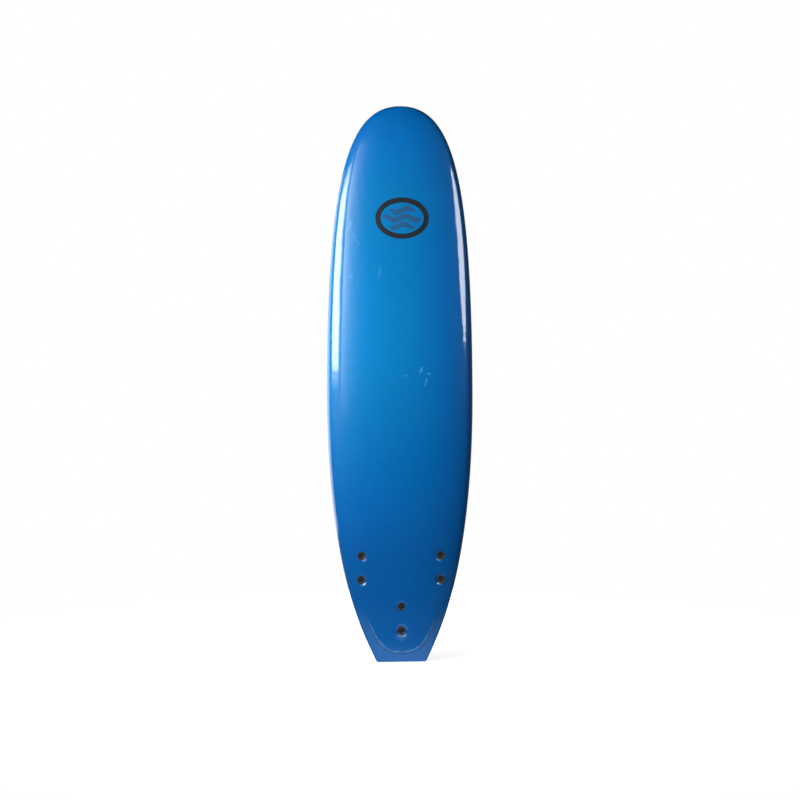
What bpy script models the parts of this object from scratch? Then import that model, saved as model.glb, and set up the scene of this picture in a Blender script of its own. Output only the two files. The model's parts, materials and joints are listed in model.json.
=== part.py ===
"""A soft-top longboard surfboard with three bolt-through fins.

The board stands on its tail: +Z runs from tail to nose, the deck faces -Y, the bottom and the fins face +Y,
and +X is on the right of someone who looks at the deck. The origin is the centre of the flat tail end.
Lengths are in metres. "Inward" is a distance in from the outline, and "height" is a distance from the
bottom surface towards the deck.
"""

import math

import bmesh
import bpy
from mathutils import Matrix, Vector
from mathutils.bvhtree import BVHTree

# Outline: two cubic curves for the right-hand edge, tail corner to widest point to nose tip, as (x, z)
LENGTH = 2.134
HALF_WIDTH = 0.283
WIDEST_Z = 1.033
TAIL_HALF_WIDTH = 0.0963
TAIL_CORNER = 0.005
TAIL_CURVE = ((TAIL_HALF_WIDTH, 0.0), (0.1455, 0.107), (HALF_WIDTH, 0.346), (HALF_WIDTH, WIDEST_Z))
NOSE_CURVE = ((HALF_WIDTH, WIDEST_Z), (HALF_WIDTH, 1.906), (0.1905, LENGTH), (0.0, LENGTH))

# Rocker of the bottom and thickness along the centreline
TAIL_END_HEIGHT = 0.027
TAIL_ROCKER = 0.046
NOSE_ROCKER = 0.110
FLAT_START = 0.85
FLAT_END = 1.05
TAIL_ROCKER_POWER = 2.1
NOSE_ROCKER_POWER = 2.3
THICKNESS = 0.080
THICKEST_Z = 1.05
TAIL_THICKNESS = 0.042
NOSE_THICKNESS = 0.034
TAIL_FOIL_POWER = 2.2
NOSE_FOIL_POWER = 2.6

# Cross-section: a lower rail of elliptical arc under a superelliptical rail and deck
APEX_SHARE = 0.40
DECK_POWER = 2.8
LOWER_RAIL_TAIL = 0.008
LOWER_RAIL = 0.024
LOWER_RAIL_FULL_Z = 0.5

# Bevelled band round the tail, outside a U-shaped crease in the deck
CREASE_Z = 0.034
CREASE_RISE = 0.031
CREASE_REF_X = 0.081
CREASE_POWER = 2.8
SHOULDER_DROP = 0.0025
BAND_FADE_START = 0.10
BAND_FADE_END = 0.27

# Layers
DECK_SKIN = 0.005
SLICK = 0.002
GAP = 0.0003
SLICK_INSET = 0.030
STRINGER = 0.004
STRINGER_X = 0.085
CENTRE_STRINGER_START = 0.230

# Fins: bolt pairs on the bottom, each fin's middle as (x, z), toe-in and cant in degrees
BOLT_SPACING = 0.092
FINS = {
    "left": {"x": -0.1545, "z": 0.360, "toe": -1.0, "cant": 5.0},
    "right": {"x": 0.1545, "z": 0.360, "toe": 1.0, "cant": -5.0},
    "centre": {"x": 0.0, "z": 0.163, "toe": 0.0, "cant": 0.0},
}
FIN_DEPTH = 0.112
FIN_LEADING = ((0.056, 0.0), (0.030, 0.060), (-0.015, 0.105), (-0.060, FIN_DEPTH))
FIN_TRAILING = ((-0.050, 0.0), (-0.040, 0.035), (-0.046, 0.085), (-0.068, FIN_DEPTH))
FIN_FOIL = 0.075
FIN_LEAST_HALF = 0.0007
FIN_EDGE_EXTRA = 0.0002
FIN_STATIONS = 8
FIN_CHORD_SHARES = (0.0, 0.06, 0.25, 0.55, 1.0)
FIN_BASE_LENGTH = 0.124
FIN_BASE_WIDTH = 0.020
FIN_BASE = 0.004
BASE_END_STEPS = 8
BLADE_START = 0.0016
POST_START = 0.0028

# Bolt-through hardware, as radii and as heights above the bottom
POST_R = 0.0070
POST_TOP = 0.029
INSERT_R = 0.0040
INSERT_BOTTOM = 0.008
INSERT_TOP = 0.0287
TUBE_R = 0.0090
TUBE_BOTTOM = 0.0058
FLANGE_R = 0.0160
FLANGE = 0.0065
FLANGE_SINK = 0.0012
FLANGE_CHAMFER = 0.0009
RECESS_R = 0.0075
RECESS_DEPTH = 0.012
MOUTH_FLARE = 0.0020
MOUTH_DEPTH = 0.0015
WEB = 0.004
SCREW_R = 0.0030
SCREW_HOLE_R = 0.0034
SCREW_LENGTH = 0.027
SCREW_TIP_R = 0.0022
SCREW_TIP = 0.0015
SCREW_HEAD_R = 0.0065
SCREW_HEAD = 0.0045
SCREW_DOME = ((1.0, 0.40), (0.8, 0.85), (0.4, 1.0))
CROSS_HALF_WIDTH = 0.0008
CROSS_HALF_LENGTH = 0.0036
CROSS_DEPTH = 0.0024
ROUND_STEPS = 16

# Where the outline and the sections are sampled. The slick covers all the rows but the first three
TAIL_STEPS = (0, 0.0155, 0.055, 0.1, 0.15, 0.2, 0.26, 0.32, 0.39, 0.46, 0.54, 0.63, 0.73, 0.85, 0.93)
NOSE_STEP_COUNT = 15
SLICK_ROWS = len(TAIL_STEPS) + NOSE_STEP_COUNT - 2
RAIL_ANGLES = (-90, -55, -25, 0, 15, 32, 48, 64, 78, 90)
REACH_FULL_Z = 0.5
NOSE_FAN_Z = 2.0
NOSE_POLE_Z = 1.93

# How far cutters reach past what they cut
ABOVE_DECK = 0.12
BELOW_BOTTOM = 0.01
PAST_ENDS = 0.1
PAST_FACES = 1.0

COLOURS = {
    "deck_foam": ((0.006, 0.150, 0.420), 0.25, 0.0),
    "slick": ((0.800, 0.820, 0.830), 0.30, 0.0),
    "core_foam": ((0.860, 0.860, 0.840), 0.90, 0.0),
    "layer_foam": ((0.700, 0.720, 0.740), 0.85, 0.0),
    "wood": ((0.550, 0.360, 0.190), 0.60, 0.0),
    "fin_plastic": ((0.020, 0.020, 0.022), 0.35, 0.0),
    "plug_plastic": ((0.012, 0.012, 0.014), 0.30, 0.0),
    "screw_steel": ((0.560, 0.550, 0.530), 0.30, 1.0),
    "insert_brass": ((0.720, 0.520, 0.220), 0.35, 1.0),
}


def smooth_step(value, start, end):
    share = min(max((value - start) / (end - start), 0.0), 1.0)
    return share * share * (3 - 2 * share)


def bezier(points, t):
    p0, p1, p2, p3 = (Vector(p) for p in points)
    s = 1 - t
    return p0 * s**3 + p1 * (3 * s * s * t) + p2 * (3 * s * t * t) + p3 * t**3


def bezier_slope(points, t):
    p0, p1, p2, p3 = (Vector(p) for p in points)
    s = 1 - t
    return (p1 - p0) * (s * s) + (p2 - p1) * (2 * s * t) + (p3 - p2) * (t * t)


# ---------------------------------------------------------------- shape of the board


def bottom_y(z):
    """Y of the bottom surface: flat amidships, curving towards the deck at tail and nose."""
    flat_y = TAIL_END_HEIGHT / 2 + TAIL_ROCKER
    if z < FLAT_START:
        return flat_y - TAIL_ROCKER * ((FLAT_START - z) / FLAT_START) ** TAIL_ROCKER_POWER
    share = max(z - FLAT_END, 0.0) / (LENGTH - FLAT_END)
    return flat_y - NOSE_ROCKER * share**NOSE_ROCKER_POWER


def thickness(z):
    if z < THICKEST_Z:
        share = (THICKEST_Z - z) / THICKEST_Z
        return THICKNESS - (THICKNESS - TAIL_THICKNESS) * share**TAIL_FOIL_POWER
    share = (z - THICKEST_Z) / (LENGTH - THICKEST_Z)
    return THICKNESS - (THICKNESS - NOSE_THICKNESS) * share**NOSE_FOIL_POWER


def lower_rail(z):
    share = smooth_step(z, 0.0, LOWER_RAIL_FULL_Z)
    return LOWER_RAIL_TAIL + (LOWER_RAIL - LOWER_RAIL_TAIL) * share


def ray_at(curve, t):
    """An outline point and the point on the centreline that its cross-section runs to, both as (x, z).

    The section is square to the centreline at the tail and square to the outline forward of it. Round the
    nose tip, all sections run to one point."""
    rim = bezier(curve, t)
    slope = bezier_slope(curve, t)
    lean = smooth_step(rim.y, 0.0, REACH_FULL_Z)
    if rim.y > NOSE_FAN_Z:
        return rim, Vector((0.0, NOSE_POLE_Z))
    foot = Vector((0.0, rim.y + lean * rim.x * slope.x / slope.y))
    if rim.y < TAIL_CORNER:
        rim.x -= TAIL_CORNER - rim.y
    return rim, foot


def rays(inset=0.0):
    """All the sections' rays from tail to nose.

    Where the shape is set in, the first ray moves off the tail end and takes the second's place."""
    nose_steps = [k / NOSE_STEP_COUNT for k in range(NOSE_STEP_COUNT + 1)]
    made = [ray_at(TAIL_CURVE, t) for t in TAIL_STEPS] + [ray_at(NOSE_CURVE, t) for t in nose_steps]
    if inset:
        shift = Vector((0.0, inset))
        made[:2] = [(made[0][0] + shift, made[0][1] + shift)]
    return made


def crease_distance(x, z):
    """Distance outside the U-shaped crease, in the deck's plane; negative inside it."""
    share = (abs(x) / CREASE_REF_X) ** CREASE_POWER
    steepness = CREASE_POWER * CREASE_RISE / CREASE_REF_X * (abs(x) / CREASE_REF_X) ** (CREASE_POWER - 1)
    return (CREASE_Z + CREASE_RISE * share - z) / math.hypot(1.0, steepness)


def banded_height(height, inward, x, z):
    """Height of the deck with the bevelled tail band, from its height without one."""
    outside = crease_distance(x, z)
    fade = 1 - smooth_step(z, BAND_FADE_START, BAND_FADE_END)
    if outside <= 0 or fade <= 0 or height <= TAIL_END_HEIGHT:
        return height
    to_edge = min(z, inward)
    share = to_edge / (to_edge + outside)
    band = TAIL_END_HEIGHT + (height - SHOULDER_DROP - TAIL_END_HEIGHT) * share
    return height + (min(band, height) - height) * fade


def surface_point(ray, inward, height):
    rim, foot = ray
    flat = rim.lerp(foot, inward / (rim - foot).length)
    return Vector((flat.x, bottom_y(flat.y) - height, flat.y))


def rail_point(ray, angle, inset):
    """A point of the section: angle -90 is where the rail meets the bottom, 0 its outermost, 90 mid deck."""
    rim, foot = ray
    reach = (rim - foot).length
    turn = math.radians(abs(angle))
    if angle < 0:
        radius = lower_rail(rim.y)
        apex = APEX_SHARE * thickness(rim.y)
        inward = radius - (radius - inset) * math.cos(turn)
        return surface_point(ray, inward, inset + (apex - inset) * (1 - math.sin(turn)))
    inward = inset + (reach - inset) * (1 - max(math.cos(turn), 0.0) ** (2 / DECK_POWER))
    flat = rim.lerp(foot, inward / reach)
    apex = APEX_SHARE * thickness(flat.y)
    height = apex + (thickness(flat.y) - apex) * math.sin(turn) ** (2 / DECK_POWER)
    height = banded_height(height, inward, flat.x, flat.y)
    crown = banded_height(thickness(flat.y), HALF_WIDTH, 0.0, flat.y)
    return surface_point(ray, inward, apex + (height - apex) * (1 - inset / (crown - apex)))


# ---------------------------------------------------------------- mesh helpers


def material(slot):
    found = bpy.data.materials.get(slot)
    if found:
        return found
    colour, roughness, metallic = COLOURS[slot]
    made = bpy.data.materials.new(slot)
    made.use_nodes = True
    shader = made.node_tree.nodes["Principled BSDF"]
    shader.inputs["Base Color"].default_value = (*colour, 1.0)
    shader.inputs["Roughness"].default_value = roughness
    shader.inputs["Metallic"].default_value = metallic
    made.diffuse_color = (*colour, 1.0)
    return made


def link(name, mesh, slot=None, parent=None):
    made = bpy.data.objects.new(name, mesh)
    bpy.context.scene.collection.objects.link(made)
    if slot and not mesh.materials:
        mesh.materials.append(material(slot))
    if parent:
        made.parent = parent
    return made


def finished_mesh(name, bm, smooth_angle=40):
    """A mesh of the bmesh, with its doubles merged, its faces pointing out and its round parts smooth."""
    bmesh.ops.remove_doubles(bm, verts=bm.verts, dist=0.00001)
    bmesh.ops.recalc_face_normals(bm, faces=bm.faces)
    mesh = bpy.data.meshes.new(name)
    bm.to_mesh(mesh)
    bm.free()
    mesh.shade_smooth()
    mesh.set_sharp_from_angle(angle=math.radians(smooth_angle))
    return mesh


def grid_faces(bm, grid):
    """Quads between the rows of a grid of vertices. Cells that shrink to a line get no face."""
    made = []
    for low, high in zip(grid, grid[1:]):
        for a, b, c, d in zip(low, low[1:], high[1:], high):
            corners = list(dict.fromkeys((a, b, c, d)))
            if len(corners) > 2:
                made.append(bm.faces.new(corners))
    return made


def mirror_to_left(bm):
    copied = bmesh.ops.duplicate(bm, geom=bm.verts[:] + bm.edges[:] + bm.faces[:])["geom"]
    verts = [v for v in copied if isinstance(v, bmesh.types.BMVert)]
    bmesh.ops.scale(bm, vec=(-1, 1, 1), verts=verts)
    bmesh.ops.reverse_faces(bm, faces=[f for f in copied if isinstance(f, bmesh.types.BMFace)])
    bmesh.ops.remove_doubles(bm, verts=bm.verts, dist=0.00001)


def section(ray, inset):
    """The right half of one section, from mid bottom round the rail to mid deck."""
    rim, foot = ray
    reach = (rim - foot).length
    bottom = [surface_point(ray, inward, inset) for inward in (reach, SLICK_INSET)]
    return bottom + [rail_point(ray, angle, inset) for angle in RAIL_ANGLES]


def board_bmesh(inset, open_bottom=False):
    """The board's closed outside, or the same shape set in from it all round. Its tail end is flat.

    open_bottom leaves out the part of the bottom that the slick covers."""
    bm = bmesh.new()
    grid = [[bm.verts.new(p) for p in section(ray, inset)] for ray in rays(inset)]
    if open_bottom:
        first = len(grid) - SLICK_ROWS
        grid_faces(bm, grid[: first + 1])
        grid_faces(bm, [row[1:] for row in grid[first:]])
        for row in grid[first + 1 :]:
            bm.verts.remove(row[0])
    else:
        grid_faces(bm, grid)
    bmesh.ops.triangulate(bm, faces=bm.faces[:], quad_method="FIXED")
    mirror_to_left(bm)
    tail_edges = [e for e in bm.edges if e.is_boundary and all(abs(v.co.z - inset) < 1e-6 for v in e.verts)]
    bmesh.ops.contextual_create(bm, geom=tail_edges)
    return bm


def deck_skin_mesh():
    """The foam skin: over the deck, the rails and the tail end, with a lip under the bottom's edge."""
    bm = board_bmesh(0.0, open_bottom=True)
    inner_mesh = bpy.data.meshes.new("skin_inner")
    inner = board_bmesh(DECK_SKIN, open_bottom=True)
    inner.to_mesh(inner_mesh)
    inner.free()
    bm.from_mesh(inner_mesh)
    bpy.data.meshes.remove(inner_mesh)
    bmesh.ops.bridge_loops(bm, edges=[e for e in bm.edges if e.is_boundary])
    return finished_mesh("deck_skin", bm)


def plate_mesh(name, low, high):
    """A sheet in the opening of the skin, between two heights above the bottom surface."""
    bm = bmesh.new()
    inward = SLICK_INSET + GAP
    plate_rays = rays()[-SLICK_ROWS:]
    rim, foot = plate_rays[0]
    plate_rays[0] = (rim + Vector((0.0, GAP)), foot + Vector((0.0, GAP)))
    for height in (low, high):
        grid = []
        for ray in plate_rays:
            reach = (ray[0] - ray[1]).length
            grid.append([bm.verts.new(surface_point(ray, d, height)) for d in (reach, inward)])
        grid_faces(bm, grid)
    mirror_to_left(bm)
    bmesh.ops.bridge_loops(bm, edges=[e for e in bm.edges if e.is_boundary])
    return finished_mesh(name, bm)


def box_bmesh(low, high):
    bm = bmesh.new()
    bmesh.ops.create_cube(bm, size=1.0)
    size = Vector(high) - Vector(low)
    middle = (Vector(high) + Vector(low)) / 2
    bmesh.ops.transform(bm, verts=bm.verts, matrix=Matrix.Translation(middle) @ Matrix.Diagonal((*size, 1.0)))
    return bm


def turned_mesh(name, profile):
    """A solid turned about its Z from (radius, height) points that form a loop, or end on the axis."""
    bm = bmesh.new()
    verts = [bm.verts.new((radius, 0.0, height)) for radius, height in profile]
    closed = profile[0][0] > 0
    pairs = list(zip(verts, verts[1:])) + ([(verts[-1], verts[0])] if closed else [])
    edges = [bm.edges.new(pair) for pair in pairs]
    bmesh.ops.spin(
        bm,
        geom=verts + edges,
        cent=(0, 0, 0),
        axis=(0, 0, 1),
        angle=2 * math.pi,
        steps=ROUND_STEPS,
        use_merge=True,
    )
    return finished_mesh(name, bm)


def rod_mesh(name, radius, low, high):
    return turned_mesh(name, [(0.0, low), (radius, low), (radius, high), (0.0, high)])


def as_cutter(cutter):
    cutter.hide_render = True
    cutter.display_type = "WIRE"
    return cutter


def boolean(target, operation, other):
    modifier = target.modifiers.new(f"{operation.lower()}_{other.name}", "BOOLEAN")
    modifier.operation = operation
    modifier.object = other
    modifier.solver = "EXACT"


# ---------------------------------------------------------------- fins and their hardware


def fin_frame(name, place):
    """An empty on the bottom at a fin's middle: Y runs to the nose along the bottom, Z into the board."""
    step = 0.001
    rise = (bottom_y(place["z"] + step) - bottom_y(place["z"] - step)) / (2 * step)
    empty = bpy.data.objects.new(f"{name}_fin_frame", None)
    bpy.context.scene.collection.objects.link(empty)
    empty.location = (place["x"], bottom_y(place["z"]), place["z"])
    tilt = Matrix.Rotation(math.atan2(1.0, rise), 4, "X")
    toe = Matrix.Rotation(math.radians(place["toe"]), 4, "Z")
    empty.rotation_euler = (tilt @ toe).to_euler()
    return empty


def foil_half_thickness(share):
    """Half thickness of a symmetric foil, as a share of its chord times its thickness ratio."""
    powers = ((0.2969, 0.5), (-0.1260, 1), (-0.3516, 2), (0.2843, 3), (-0.1015, 4))
    return 5 * sum(factor * share**power for factor, power in powers)


def blade_mesh(name, cant):
    """A swept blade below the base, from foil sections between its leading and trailing edges."""
    bm = bmesh.new()
    lean = math.tan(math.radians(cant))
    around = [(s, 1) for s in FIN_CHORD_SHARES] + [(s, -1) for s in FIN_CHORD_SHARES[-2:0:-1]]
    sections = []
    for k in range(FIN_STATIONS):
        front = bezier(FIN_LEADING, k / (FIN_STATIONS - 1))
        back = bezier(FIN_TRAILING, k / (FIN_STATIONS - 1))
        chord = (front - back).length
        ring = []
        for share, side in around:
            spot = front.lerp(back, share)
            depth = max(spot.y, 0.0) + BLADE_START
            half = max(foil_half_thickness(share) * FIN_FOIL * chord, FIN_LEAST_HALF)
            half += FIN_EDGE_EXTRA if share in (0.0, 1.0) else 0.0
            ring.append(bm.verts.new((side * half - depth * lean, spot.x, -depth)))
        sections.append(ring)
    for low, high in zip(sections, sections[1:]):
        for k in range(len(low)):
            after = (k + 1) % len(low)
            bm.faces.new((low[k], low[after], high[after], high[k]))
    bm.faces.new(sections[0])
    bm.faces.new(sections[-1])
    return finished_mesh(name, bm)


def base_mesh(name):
    """The fin's base: a flat plate with half-round ends."""
    bm = bmesh.new()
    radius = FIN_BASE_WIDTH / 2
    middle = FIN_BASE_LENGTH / 2 - radius
    rim = []
    for end in (1, -1):
        for k in range(BASE_END_STEPS + 1):
            turn = math.pi * k / BASE_END_STEPS + (0 if end > 0 else math.pi)
            rim.append((radius * math.cos(turn), end * middle + radius * math.sin(turn), -GAP))
    face = bm.faces.new([bm.verts.new(p) for p in rim])
    extruded = bmesh.ops.extrude_face_region(bm, geom=[face])["geom"]
    lowered = [v for v in extruded if isinstance(v, bmesh.types.BMVert)]
    bmesh.ops.translate(bm, vec=(0, 0, -FIN_BASE), verts=lowered)
    return finished_mesh(name, bm)


def bolt_places():
    return {"front": BOLT_SPACING / 2, "rear": -BOLT_SPACING / 2}


def post_mesh():
    """A post with a blind hole for the insert in its top."""
    low = -POST_START
    hole = INSERT_R + GAP
    floor = INSERT_BOTTOM - GAP
    profile = [(0.0, low), (POST_R, low), (POST_R, POST_TOP), (hole, POST_TOP), (hole, floor), (0.0, floor)]
    return turned_mesh("post", profile)


def make_fin(side, frame):
    fin = link(f"fin_{side}", base_mesh(f"fin_{side}"), "fin_plastic", frame)
    blade = link(f"blade_{side}", blade_mesh(f"blade_{side}", FINS[side]["cant"]), None, frame)
    boolean(fin, "UNION", as_cutter(blade))
    for end, along in bolt_places().items():
        post = as_cutter(link(f"post_{side}_{end}", post_mesh(), None, frame))
        post.location.y = along
        boolean(fin, "UNION", post)


def insert_mesh():
    bore = SCREW_R + GAP
    profile = [(bore, INSERT_BOTTOM), (INSERT_R, INSERT_BOTTOM), (INSERT_R, INSERT_TOP), (bore, INSERT_TOP)]
    return turned_mesh("fin_insert", profile)


def screw_mesh():
    """A pan-head screw whose head sits on height zero and whose shank runs down from it."""
    shank = [
        (0.0, -SCREW_LENGTH),
        (SCREW_TIP_R, -SCREW_LENGTH),
        (SCREW_R, -SCREW_LENGTH + SCREW_TIP),
        (SCREW_R, 0.0),
    ]
    dome = [(SCREW_HEAD_R * across, SCREW_HEAD * up) for across, up in SCREW_DOME]
    return turned_mesh("fin_screw", shank + [(SCREW_HEAD_R, 0.0)] + dome + [(0.0, SCREW_HEAD)])


def cross_mesh():
    """Cutter for the cross recess in a screw head."""
    bm = bmesh.new()
    corners = []
    for x, y in ((1, 1), (-1, 1), (-1, -1), (1, -1)):
        arm_up = (x * CROSS_HALF_WIDTH, y * CROSS_HALF_LENGTH)
        inner = (x * CROSS_HALF_WIDTH, y * CROSS_HALF_WIDTH)
        arm_across = (x * CROSS_HALF_LENGTH, y * CROSS_HALF_WIDTH)
        corners += [arm_across, inner, arm_up] if x == y else [arm_up, inner, arm_across]
    face = bm.faces.new([bm.verts.new((x, y, SCREW_HEAD - CROSS_DEPTH)) for x, y in corners])
    extruded = bmesh.ops.extrude_face_region(bm, geom=[face])["geom"]
    raised = [v for v in extruded if isinstance(v, bmesh.types.BMVert)]
    bmesh.ops.translate(bm, vec=(0, 0, 2 * CROSS_DEPTH), verts=raised)
    return finished_mesh("screw_cross", bm)


def plug_mesh(name, top):
    """A flanged tube that takes the post from below and the screw head from above, a web between them."""
    seat = top - RECESS_DEPTH
    bore = POST_R + GAP
    profile = [
        (bore, TUBE_BOTTOM),
        (TUBE_R, TUBE_BOTTOM),
        (TUBE_R, top - FLANGE),
        (FLANGE_R, top - FLANGE),
        (FLANGE_R, top - FLANGE_CHAMFER),
        (FLANGE_R - FLANGE_CHAMFER, top),
        (RECESS_R + MOUTH_FLARE, top),
        (RECESS_R, top - MOUTH_DEPTH),
        (RECESS_R, seat),
        (SCREW_HOLE_R, seat),
        (SCREW_HOLE_R, seat - WEB),
        (bore, seat - WEB),
    ]
    return turned_mesh(name, profile)


def plug_hole_mesh(top):
    """Cutter for the stepped hole that a plug sits in: its tube's bore below its flange's."""
    tube = TUBE_R + GAP
    flange = FLANGE_R + GAP
    step = top - FLANGE - GAP
    profile = [(0.0, 0.0), (tube, 0.0), (tube, step), (flange, step), (flange, ABOVE_DECK), (0.0, ABOVE_DECK)]
    return turned_mesh("plug_hole", profile)


def make_bolts(side, frame, deck, cutters):
    """The plug, screw and insert of each of a fin's bolts. The holes for them go on the lists in cutters."""
    bpy.context.view_layer.update()
    shared_insert = insert_mesh()
    shared_screw = screw_mesh()
    for end, along in bolt_places().items():
        axis = frame.matrix_world @ Matrix.Translation((0, along, 0))
        start = axis @ Vector((0, 0, ABOVE_DECK))
        down = (axis.to_3x3() @ Vector((0, 0, -1))).normalized()
        top = ABOVE_DECK - deck.ray_cast(start, down)[3] - FLANGE_SINK
        tag = f"{side}_{end}"
        plug = link(f"deck_plug_{tag}", plug_mesh("deck_plug", top), "plug_plastic", frame)
        insert = link(f"fin_insert_{tag}", shared_insert, "insert_brass", frame)
        screw = link(f"fin_screw_{tag}", shared_screw, "screw_steel", frame)
        cross = as_cutter(link(f"cross_{tag}", cross_mesh(), None, frame))
        seat = top - RECESS_DEPTH + GAP
        for made, height in ((plug, 0), (insert, 0), (screw, seat), (cross, seat)):
            made.location = (0, along, height)
        boolean(screw, "DIFFERENCE", cross)
        holes = {
            "post": rod_mesh("post_hole", POST_R + GAP, -BELOW_BOTTOM, TUBE_BOTTOM),
            "plug": plug_hole_mesh(top),
        }
        for kind, mesh in holes.items():
            cutter = as_cutter(link(f"{kind}_hole_{tag}", mesh, None, frame))
            cutter.location.y = along
            cutters[kind].append(cutter)


# ---------------------------------------------------------------- the board's own pieces


def slab(name, low_x, high_x, low_z=-PAST_ENDS):
    bm = box_bmesh((low_x, -PAST_FACES, low_z), (high_x, PAST_FACES, LENGTH + PAST_ENDS))
    return as_cutter(link(name, finished_mesh(name, bm)))


def make_core(cutters):
    """Foam cores with wooden stringers between them, all cut from one blank inside the skin."""
    edge = STRINGER_X - STRINGER / 2
    far = STRINGER_X + STRINGER / 2
    wide = 2 * HALF_WIDTH
    pieces = {
        "stringer_left": (-far, -edge, "wood"),
        "stringer_right": (edge, far, "wood"),
        "stringer_centre": (-STRINGER / 2, STRINGER / 2, "wood"),
        "eps_core_left": (-wide, -far - GAP, "core_foam"),
        "eps_core_centre": (-edge + GAP, edge - GAP, "core_foam"),
        "eps_core_right": (far + GAP, wide, "core_foam"),
    }
    for name, (low_x, high_x, slot) in pieces.items():
        low_z = CENTRE_STRINGER_START if name == "stringer_centre" else -PAST_ENDS
        blank = finished_mesh(name, board_bmesh(DECK_SKIN + GAP))
        made = link(name, blank, slot)
        boolean(made, "INTERSECT", slab(f"{name}_slab", low_x, high_x, low_z))
        if name == "eps_core_centre":
            slot_x = STRINGER / 2 + GAP
            boolean(made, "DIFFERENCE", slab("stringer_slot", -slot_x, slot_x, CENTRE_STRINGER_START - GAP))
        if slot == "core_foam":
            side = name.rsplit("_", 1)[1]
            for cutter in cutters["plug"]:
                if f"_{side}_" in cutter.name:
                    boolean(made, "DIFFERENCE", cutter)


def make_skins(cutters):
    skin = link("deck_skin", deck_skin_mesh(), "deck_foam")
    for cutter in cutters["plug"]:
        boolean(skin, "DIFFERENCE", cutter)
    slick = link("bottom_slick", plate_mesh("bottom_slick", 0.0, SLICK), "slick")
    layer_mesh = plate_mesh("bottom_foam_layer", SLICK + GAP, DECK_SKIN)
    layer = link("bottom_foam_layer", layer_mesh, "layer_foam")
    for sheet in (slick, layer):
        for cutter in cutters["post"]:
            boolean(sheet, "DIFFERENCE", cutter)


def clear_scene():
    for found in list(bpy.data.objects):
        bpy.data.objects.remove(found)


def main():
    clear_scene()
    outside = board_bmesh(0.0)
    deck = BVHTree.FromBMesh(outside)
    outside.free()
    cutters = {"post": [], "plug": []}
    for side, place in FINS.items():
        frame = fin_frame(side, place)
        make_fin(side, frame)
        make_bolts(side, frame, deck, cutters)
    make_skins(cutters)
    make_core(cutters)


main()
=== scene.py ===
"""The looks of a soft-top longboard: its fine skins, fins and hardware, its materials, light and camera.

The board stands on its tail. +Z runs from tail to nose, the deck faces -Y and the bottom +Y. Lengths are in
metres. "Inward" is a distance in from the outline, and "height" one from the bottom towards the deck. The
skins are built for the right half and mirrored, from rows of points across the board.
"""

import json
import math

import bmesh
import bpy
import numpy as np
from mathutils import Euler, Matrix, Vector


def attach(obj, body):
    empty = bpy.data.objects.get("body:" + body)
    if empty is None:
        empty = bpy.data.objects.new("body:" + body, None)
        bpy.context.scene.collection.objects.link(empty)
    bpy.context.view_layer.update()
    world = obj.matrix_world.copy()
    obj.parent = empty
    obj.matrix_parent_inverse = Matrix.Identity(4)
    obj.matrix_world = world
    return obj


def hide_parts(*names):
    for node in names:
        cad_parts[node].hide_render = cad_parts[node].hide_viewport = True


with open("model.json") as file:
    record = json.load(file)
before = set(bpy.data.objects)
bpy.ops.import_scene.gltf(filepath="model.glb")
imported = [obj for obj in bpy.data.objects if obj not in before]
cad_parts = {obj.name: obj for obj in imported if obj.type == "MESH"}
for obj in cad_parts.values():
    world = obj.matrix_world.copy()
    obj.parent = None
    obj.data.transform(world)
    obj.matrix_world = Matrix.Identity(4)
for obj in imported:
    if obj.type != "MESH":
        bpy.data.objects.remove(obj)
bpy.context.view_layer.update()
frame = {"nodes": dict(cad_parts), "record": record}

# ---- driving dimensions, as in the CAD model

LENGTH = 2.134
HALF_WIDTH = 0.283
WIDEST_Z = 1.033
TAIL_HALF_WIDTH = 0.0963
TAIL_CURVE = ((TAIL_HALF_WIDTH, 0.0), (0.1455, 0.107), (HALF_WIDTH, 0.346), (HALF_WIDTH, WIDEST_Z))
NOSE_CURVE = ((HALF_WIDTH, WIDEST_Z), (HALF_WIDTH, 1.906), (0.1905, LENGTH), (0.0, LENGTH))

TAIL_END_HEIGHT = 0.027
TAIL_ROCKER = 0.046
NOSE_ROCKER = 0.110
FLAT_START = 0.85
FLAT_END = 1.05
TAIL_ROCKER_POWER = 2.1
NOSE_ROCKER_POWER = 2.3
THICKNESS = 0.080
THICKEST_Z = 1.05
TAIL_THICKNESS = 0.042
NOSE_THICKNESS = 0.034
TAIL_FOIL_POWER = 2.2
NOSE_FOIL_POWER = 2.6

APEX_SHARE = 0.40
DECK_POWER = 2.8
LOWER_RAIL_TAIL = 0.008
LOWER_RAIL = 0.024
LOWER_RAIL_FULL_Z = 0.5
REACH_FULL_Z = 0.5
NOSE_FAN_Z = 2.0
NOSE_POLE_Z = 1.93

CREASE_Z = 0.034
CREASE_RISE = 0.031
CREASE_REF_X = 0.081
CREASE_POWER = 2.8
SHOULDER_DROP = 0.0025
BAND_FADE_START = 0.10
BAND_FADE_END = 0.27

DECK_SKIN = 0.005
SLICK = 0.002
GAP = 0.0003
SLICK_INSET = 0.030

BOLT_SPACING = 0.092
FINS = {
    "left": {"x": -0.1545, "z": 0.360, "toe": -1.0, "cant": 5.0},
    "right": {"x": 0.1545, "z": 0.360, "toe": 1.0, "cant": -5.0},
    "centre": {"x": 0.0, "z": 0.163, "toe": 0.0, "cant": 0.0},
}
FIN_DEPTH = 0.112
FIN_LEADING = ((0.056, 0.0), (0.030, 0.060), (-0.015, 0.105), (-0.060, FIN_DEPTH))
FIN_TRAILING = ((-0.050, 0.0), (-0.040, 0.035), (-0.046, 0.085), (-0.068, FIN_DEPTH))
FIN_FOIL = 0.075
FIN_BASE_LENGTH = 0.124
FIN_BASE_WIDTH = 0.020
FIN_BASE = 0.004
POST_R = 0.0070
POST_TOP = 0.029
INSERT_R = 0.0040
INSERT_BOTTOM = 0.008
TUBE_R = 0.0090
TUBE_BOTTOM = 0.0058
FLANGE_R = 0.0160
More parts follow.
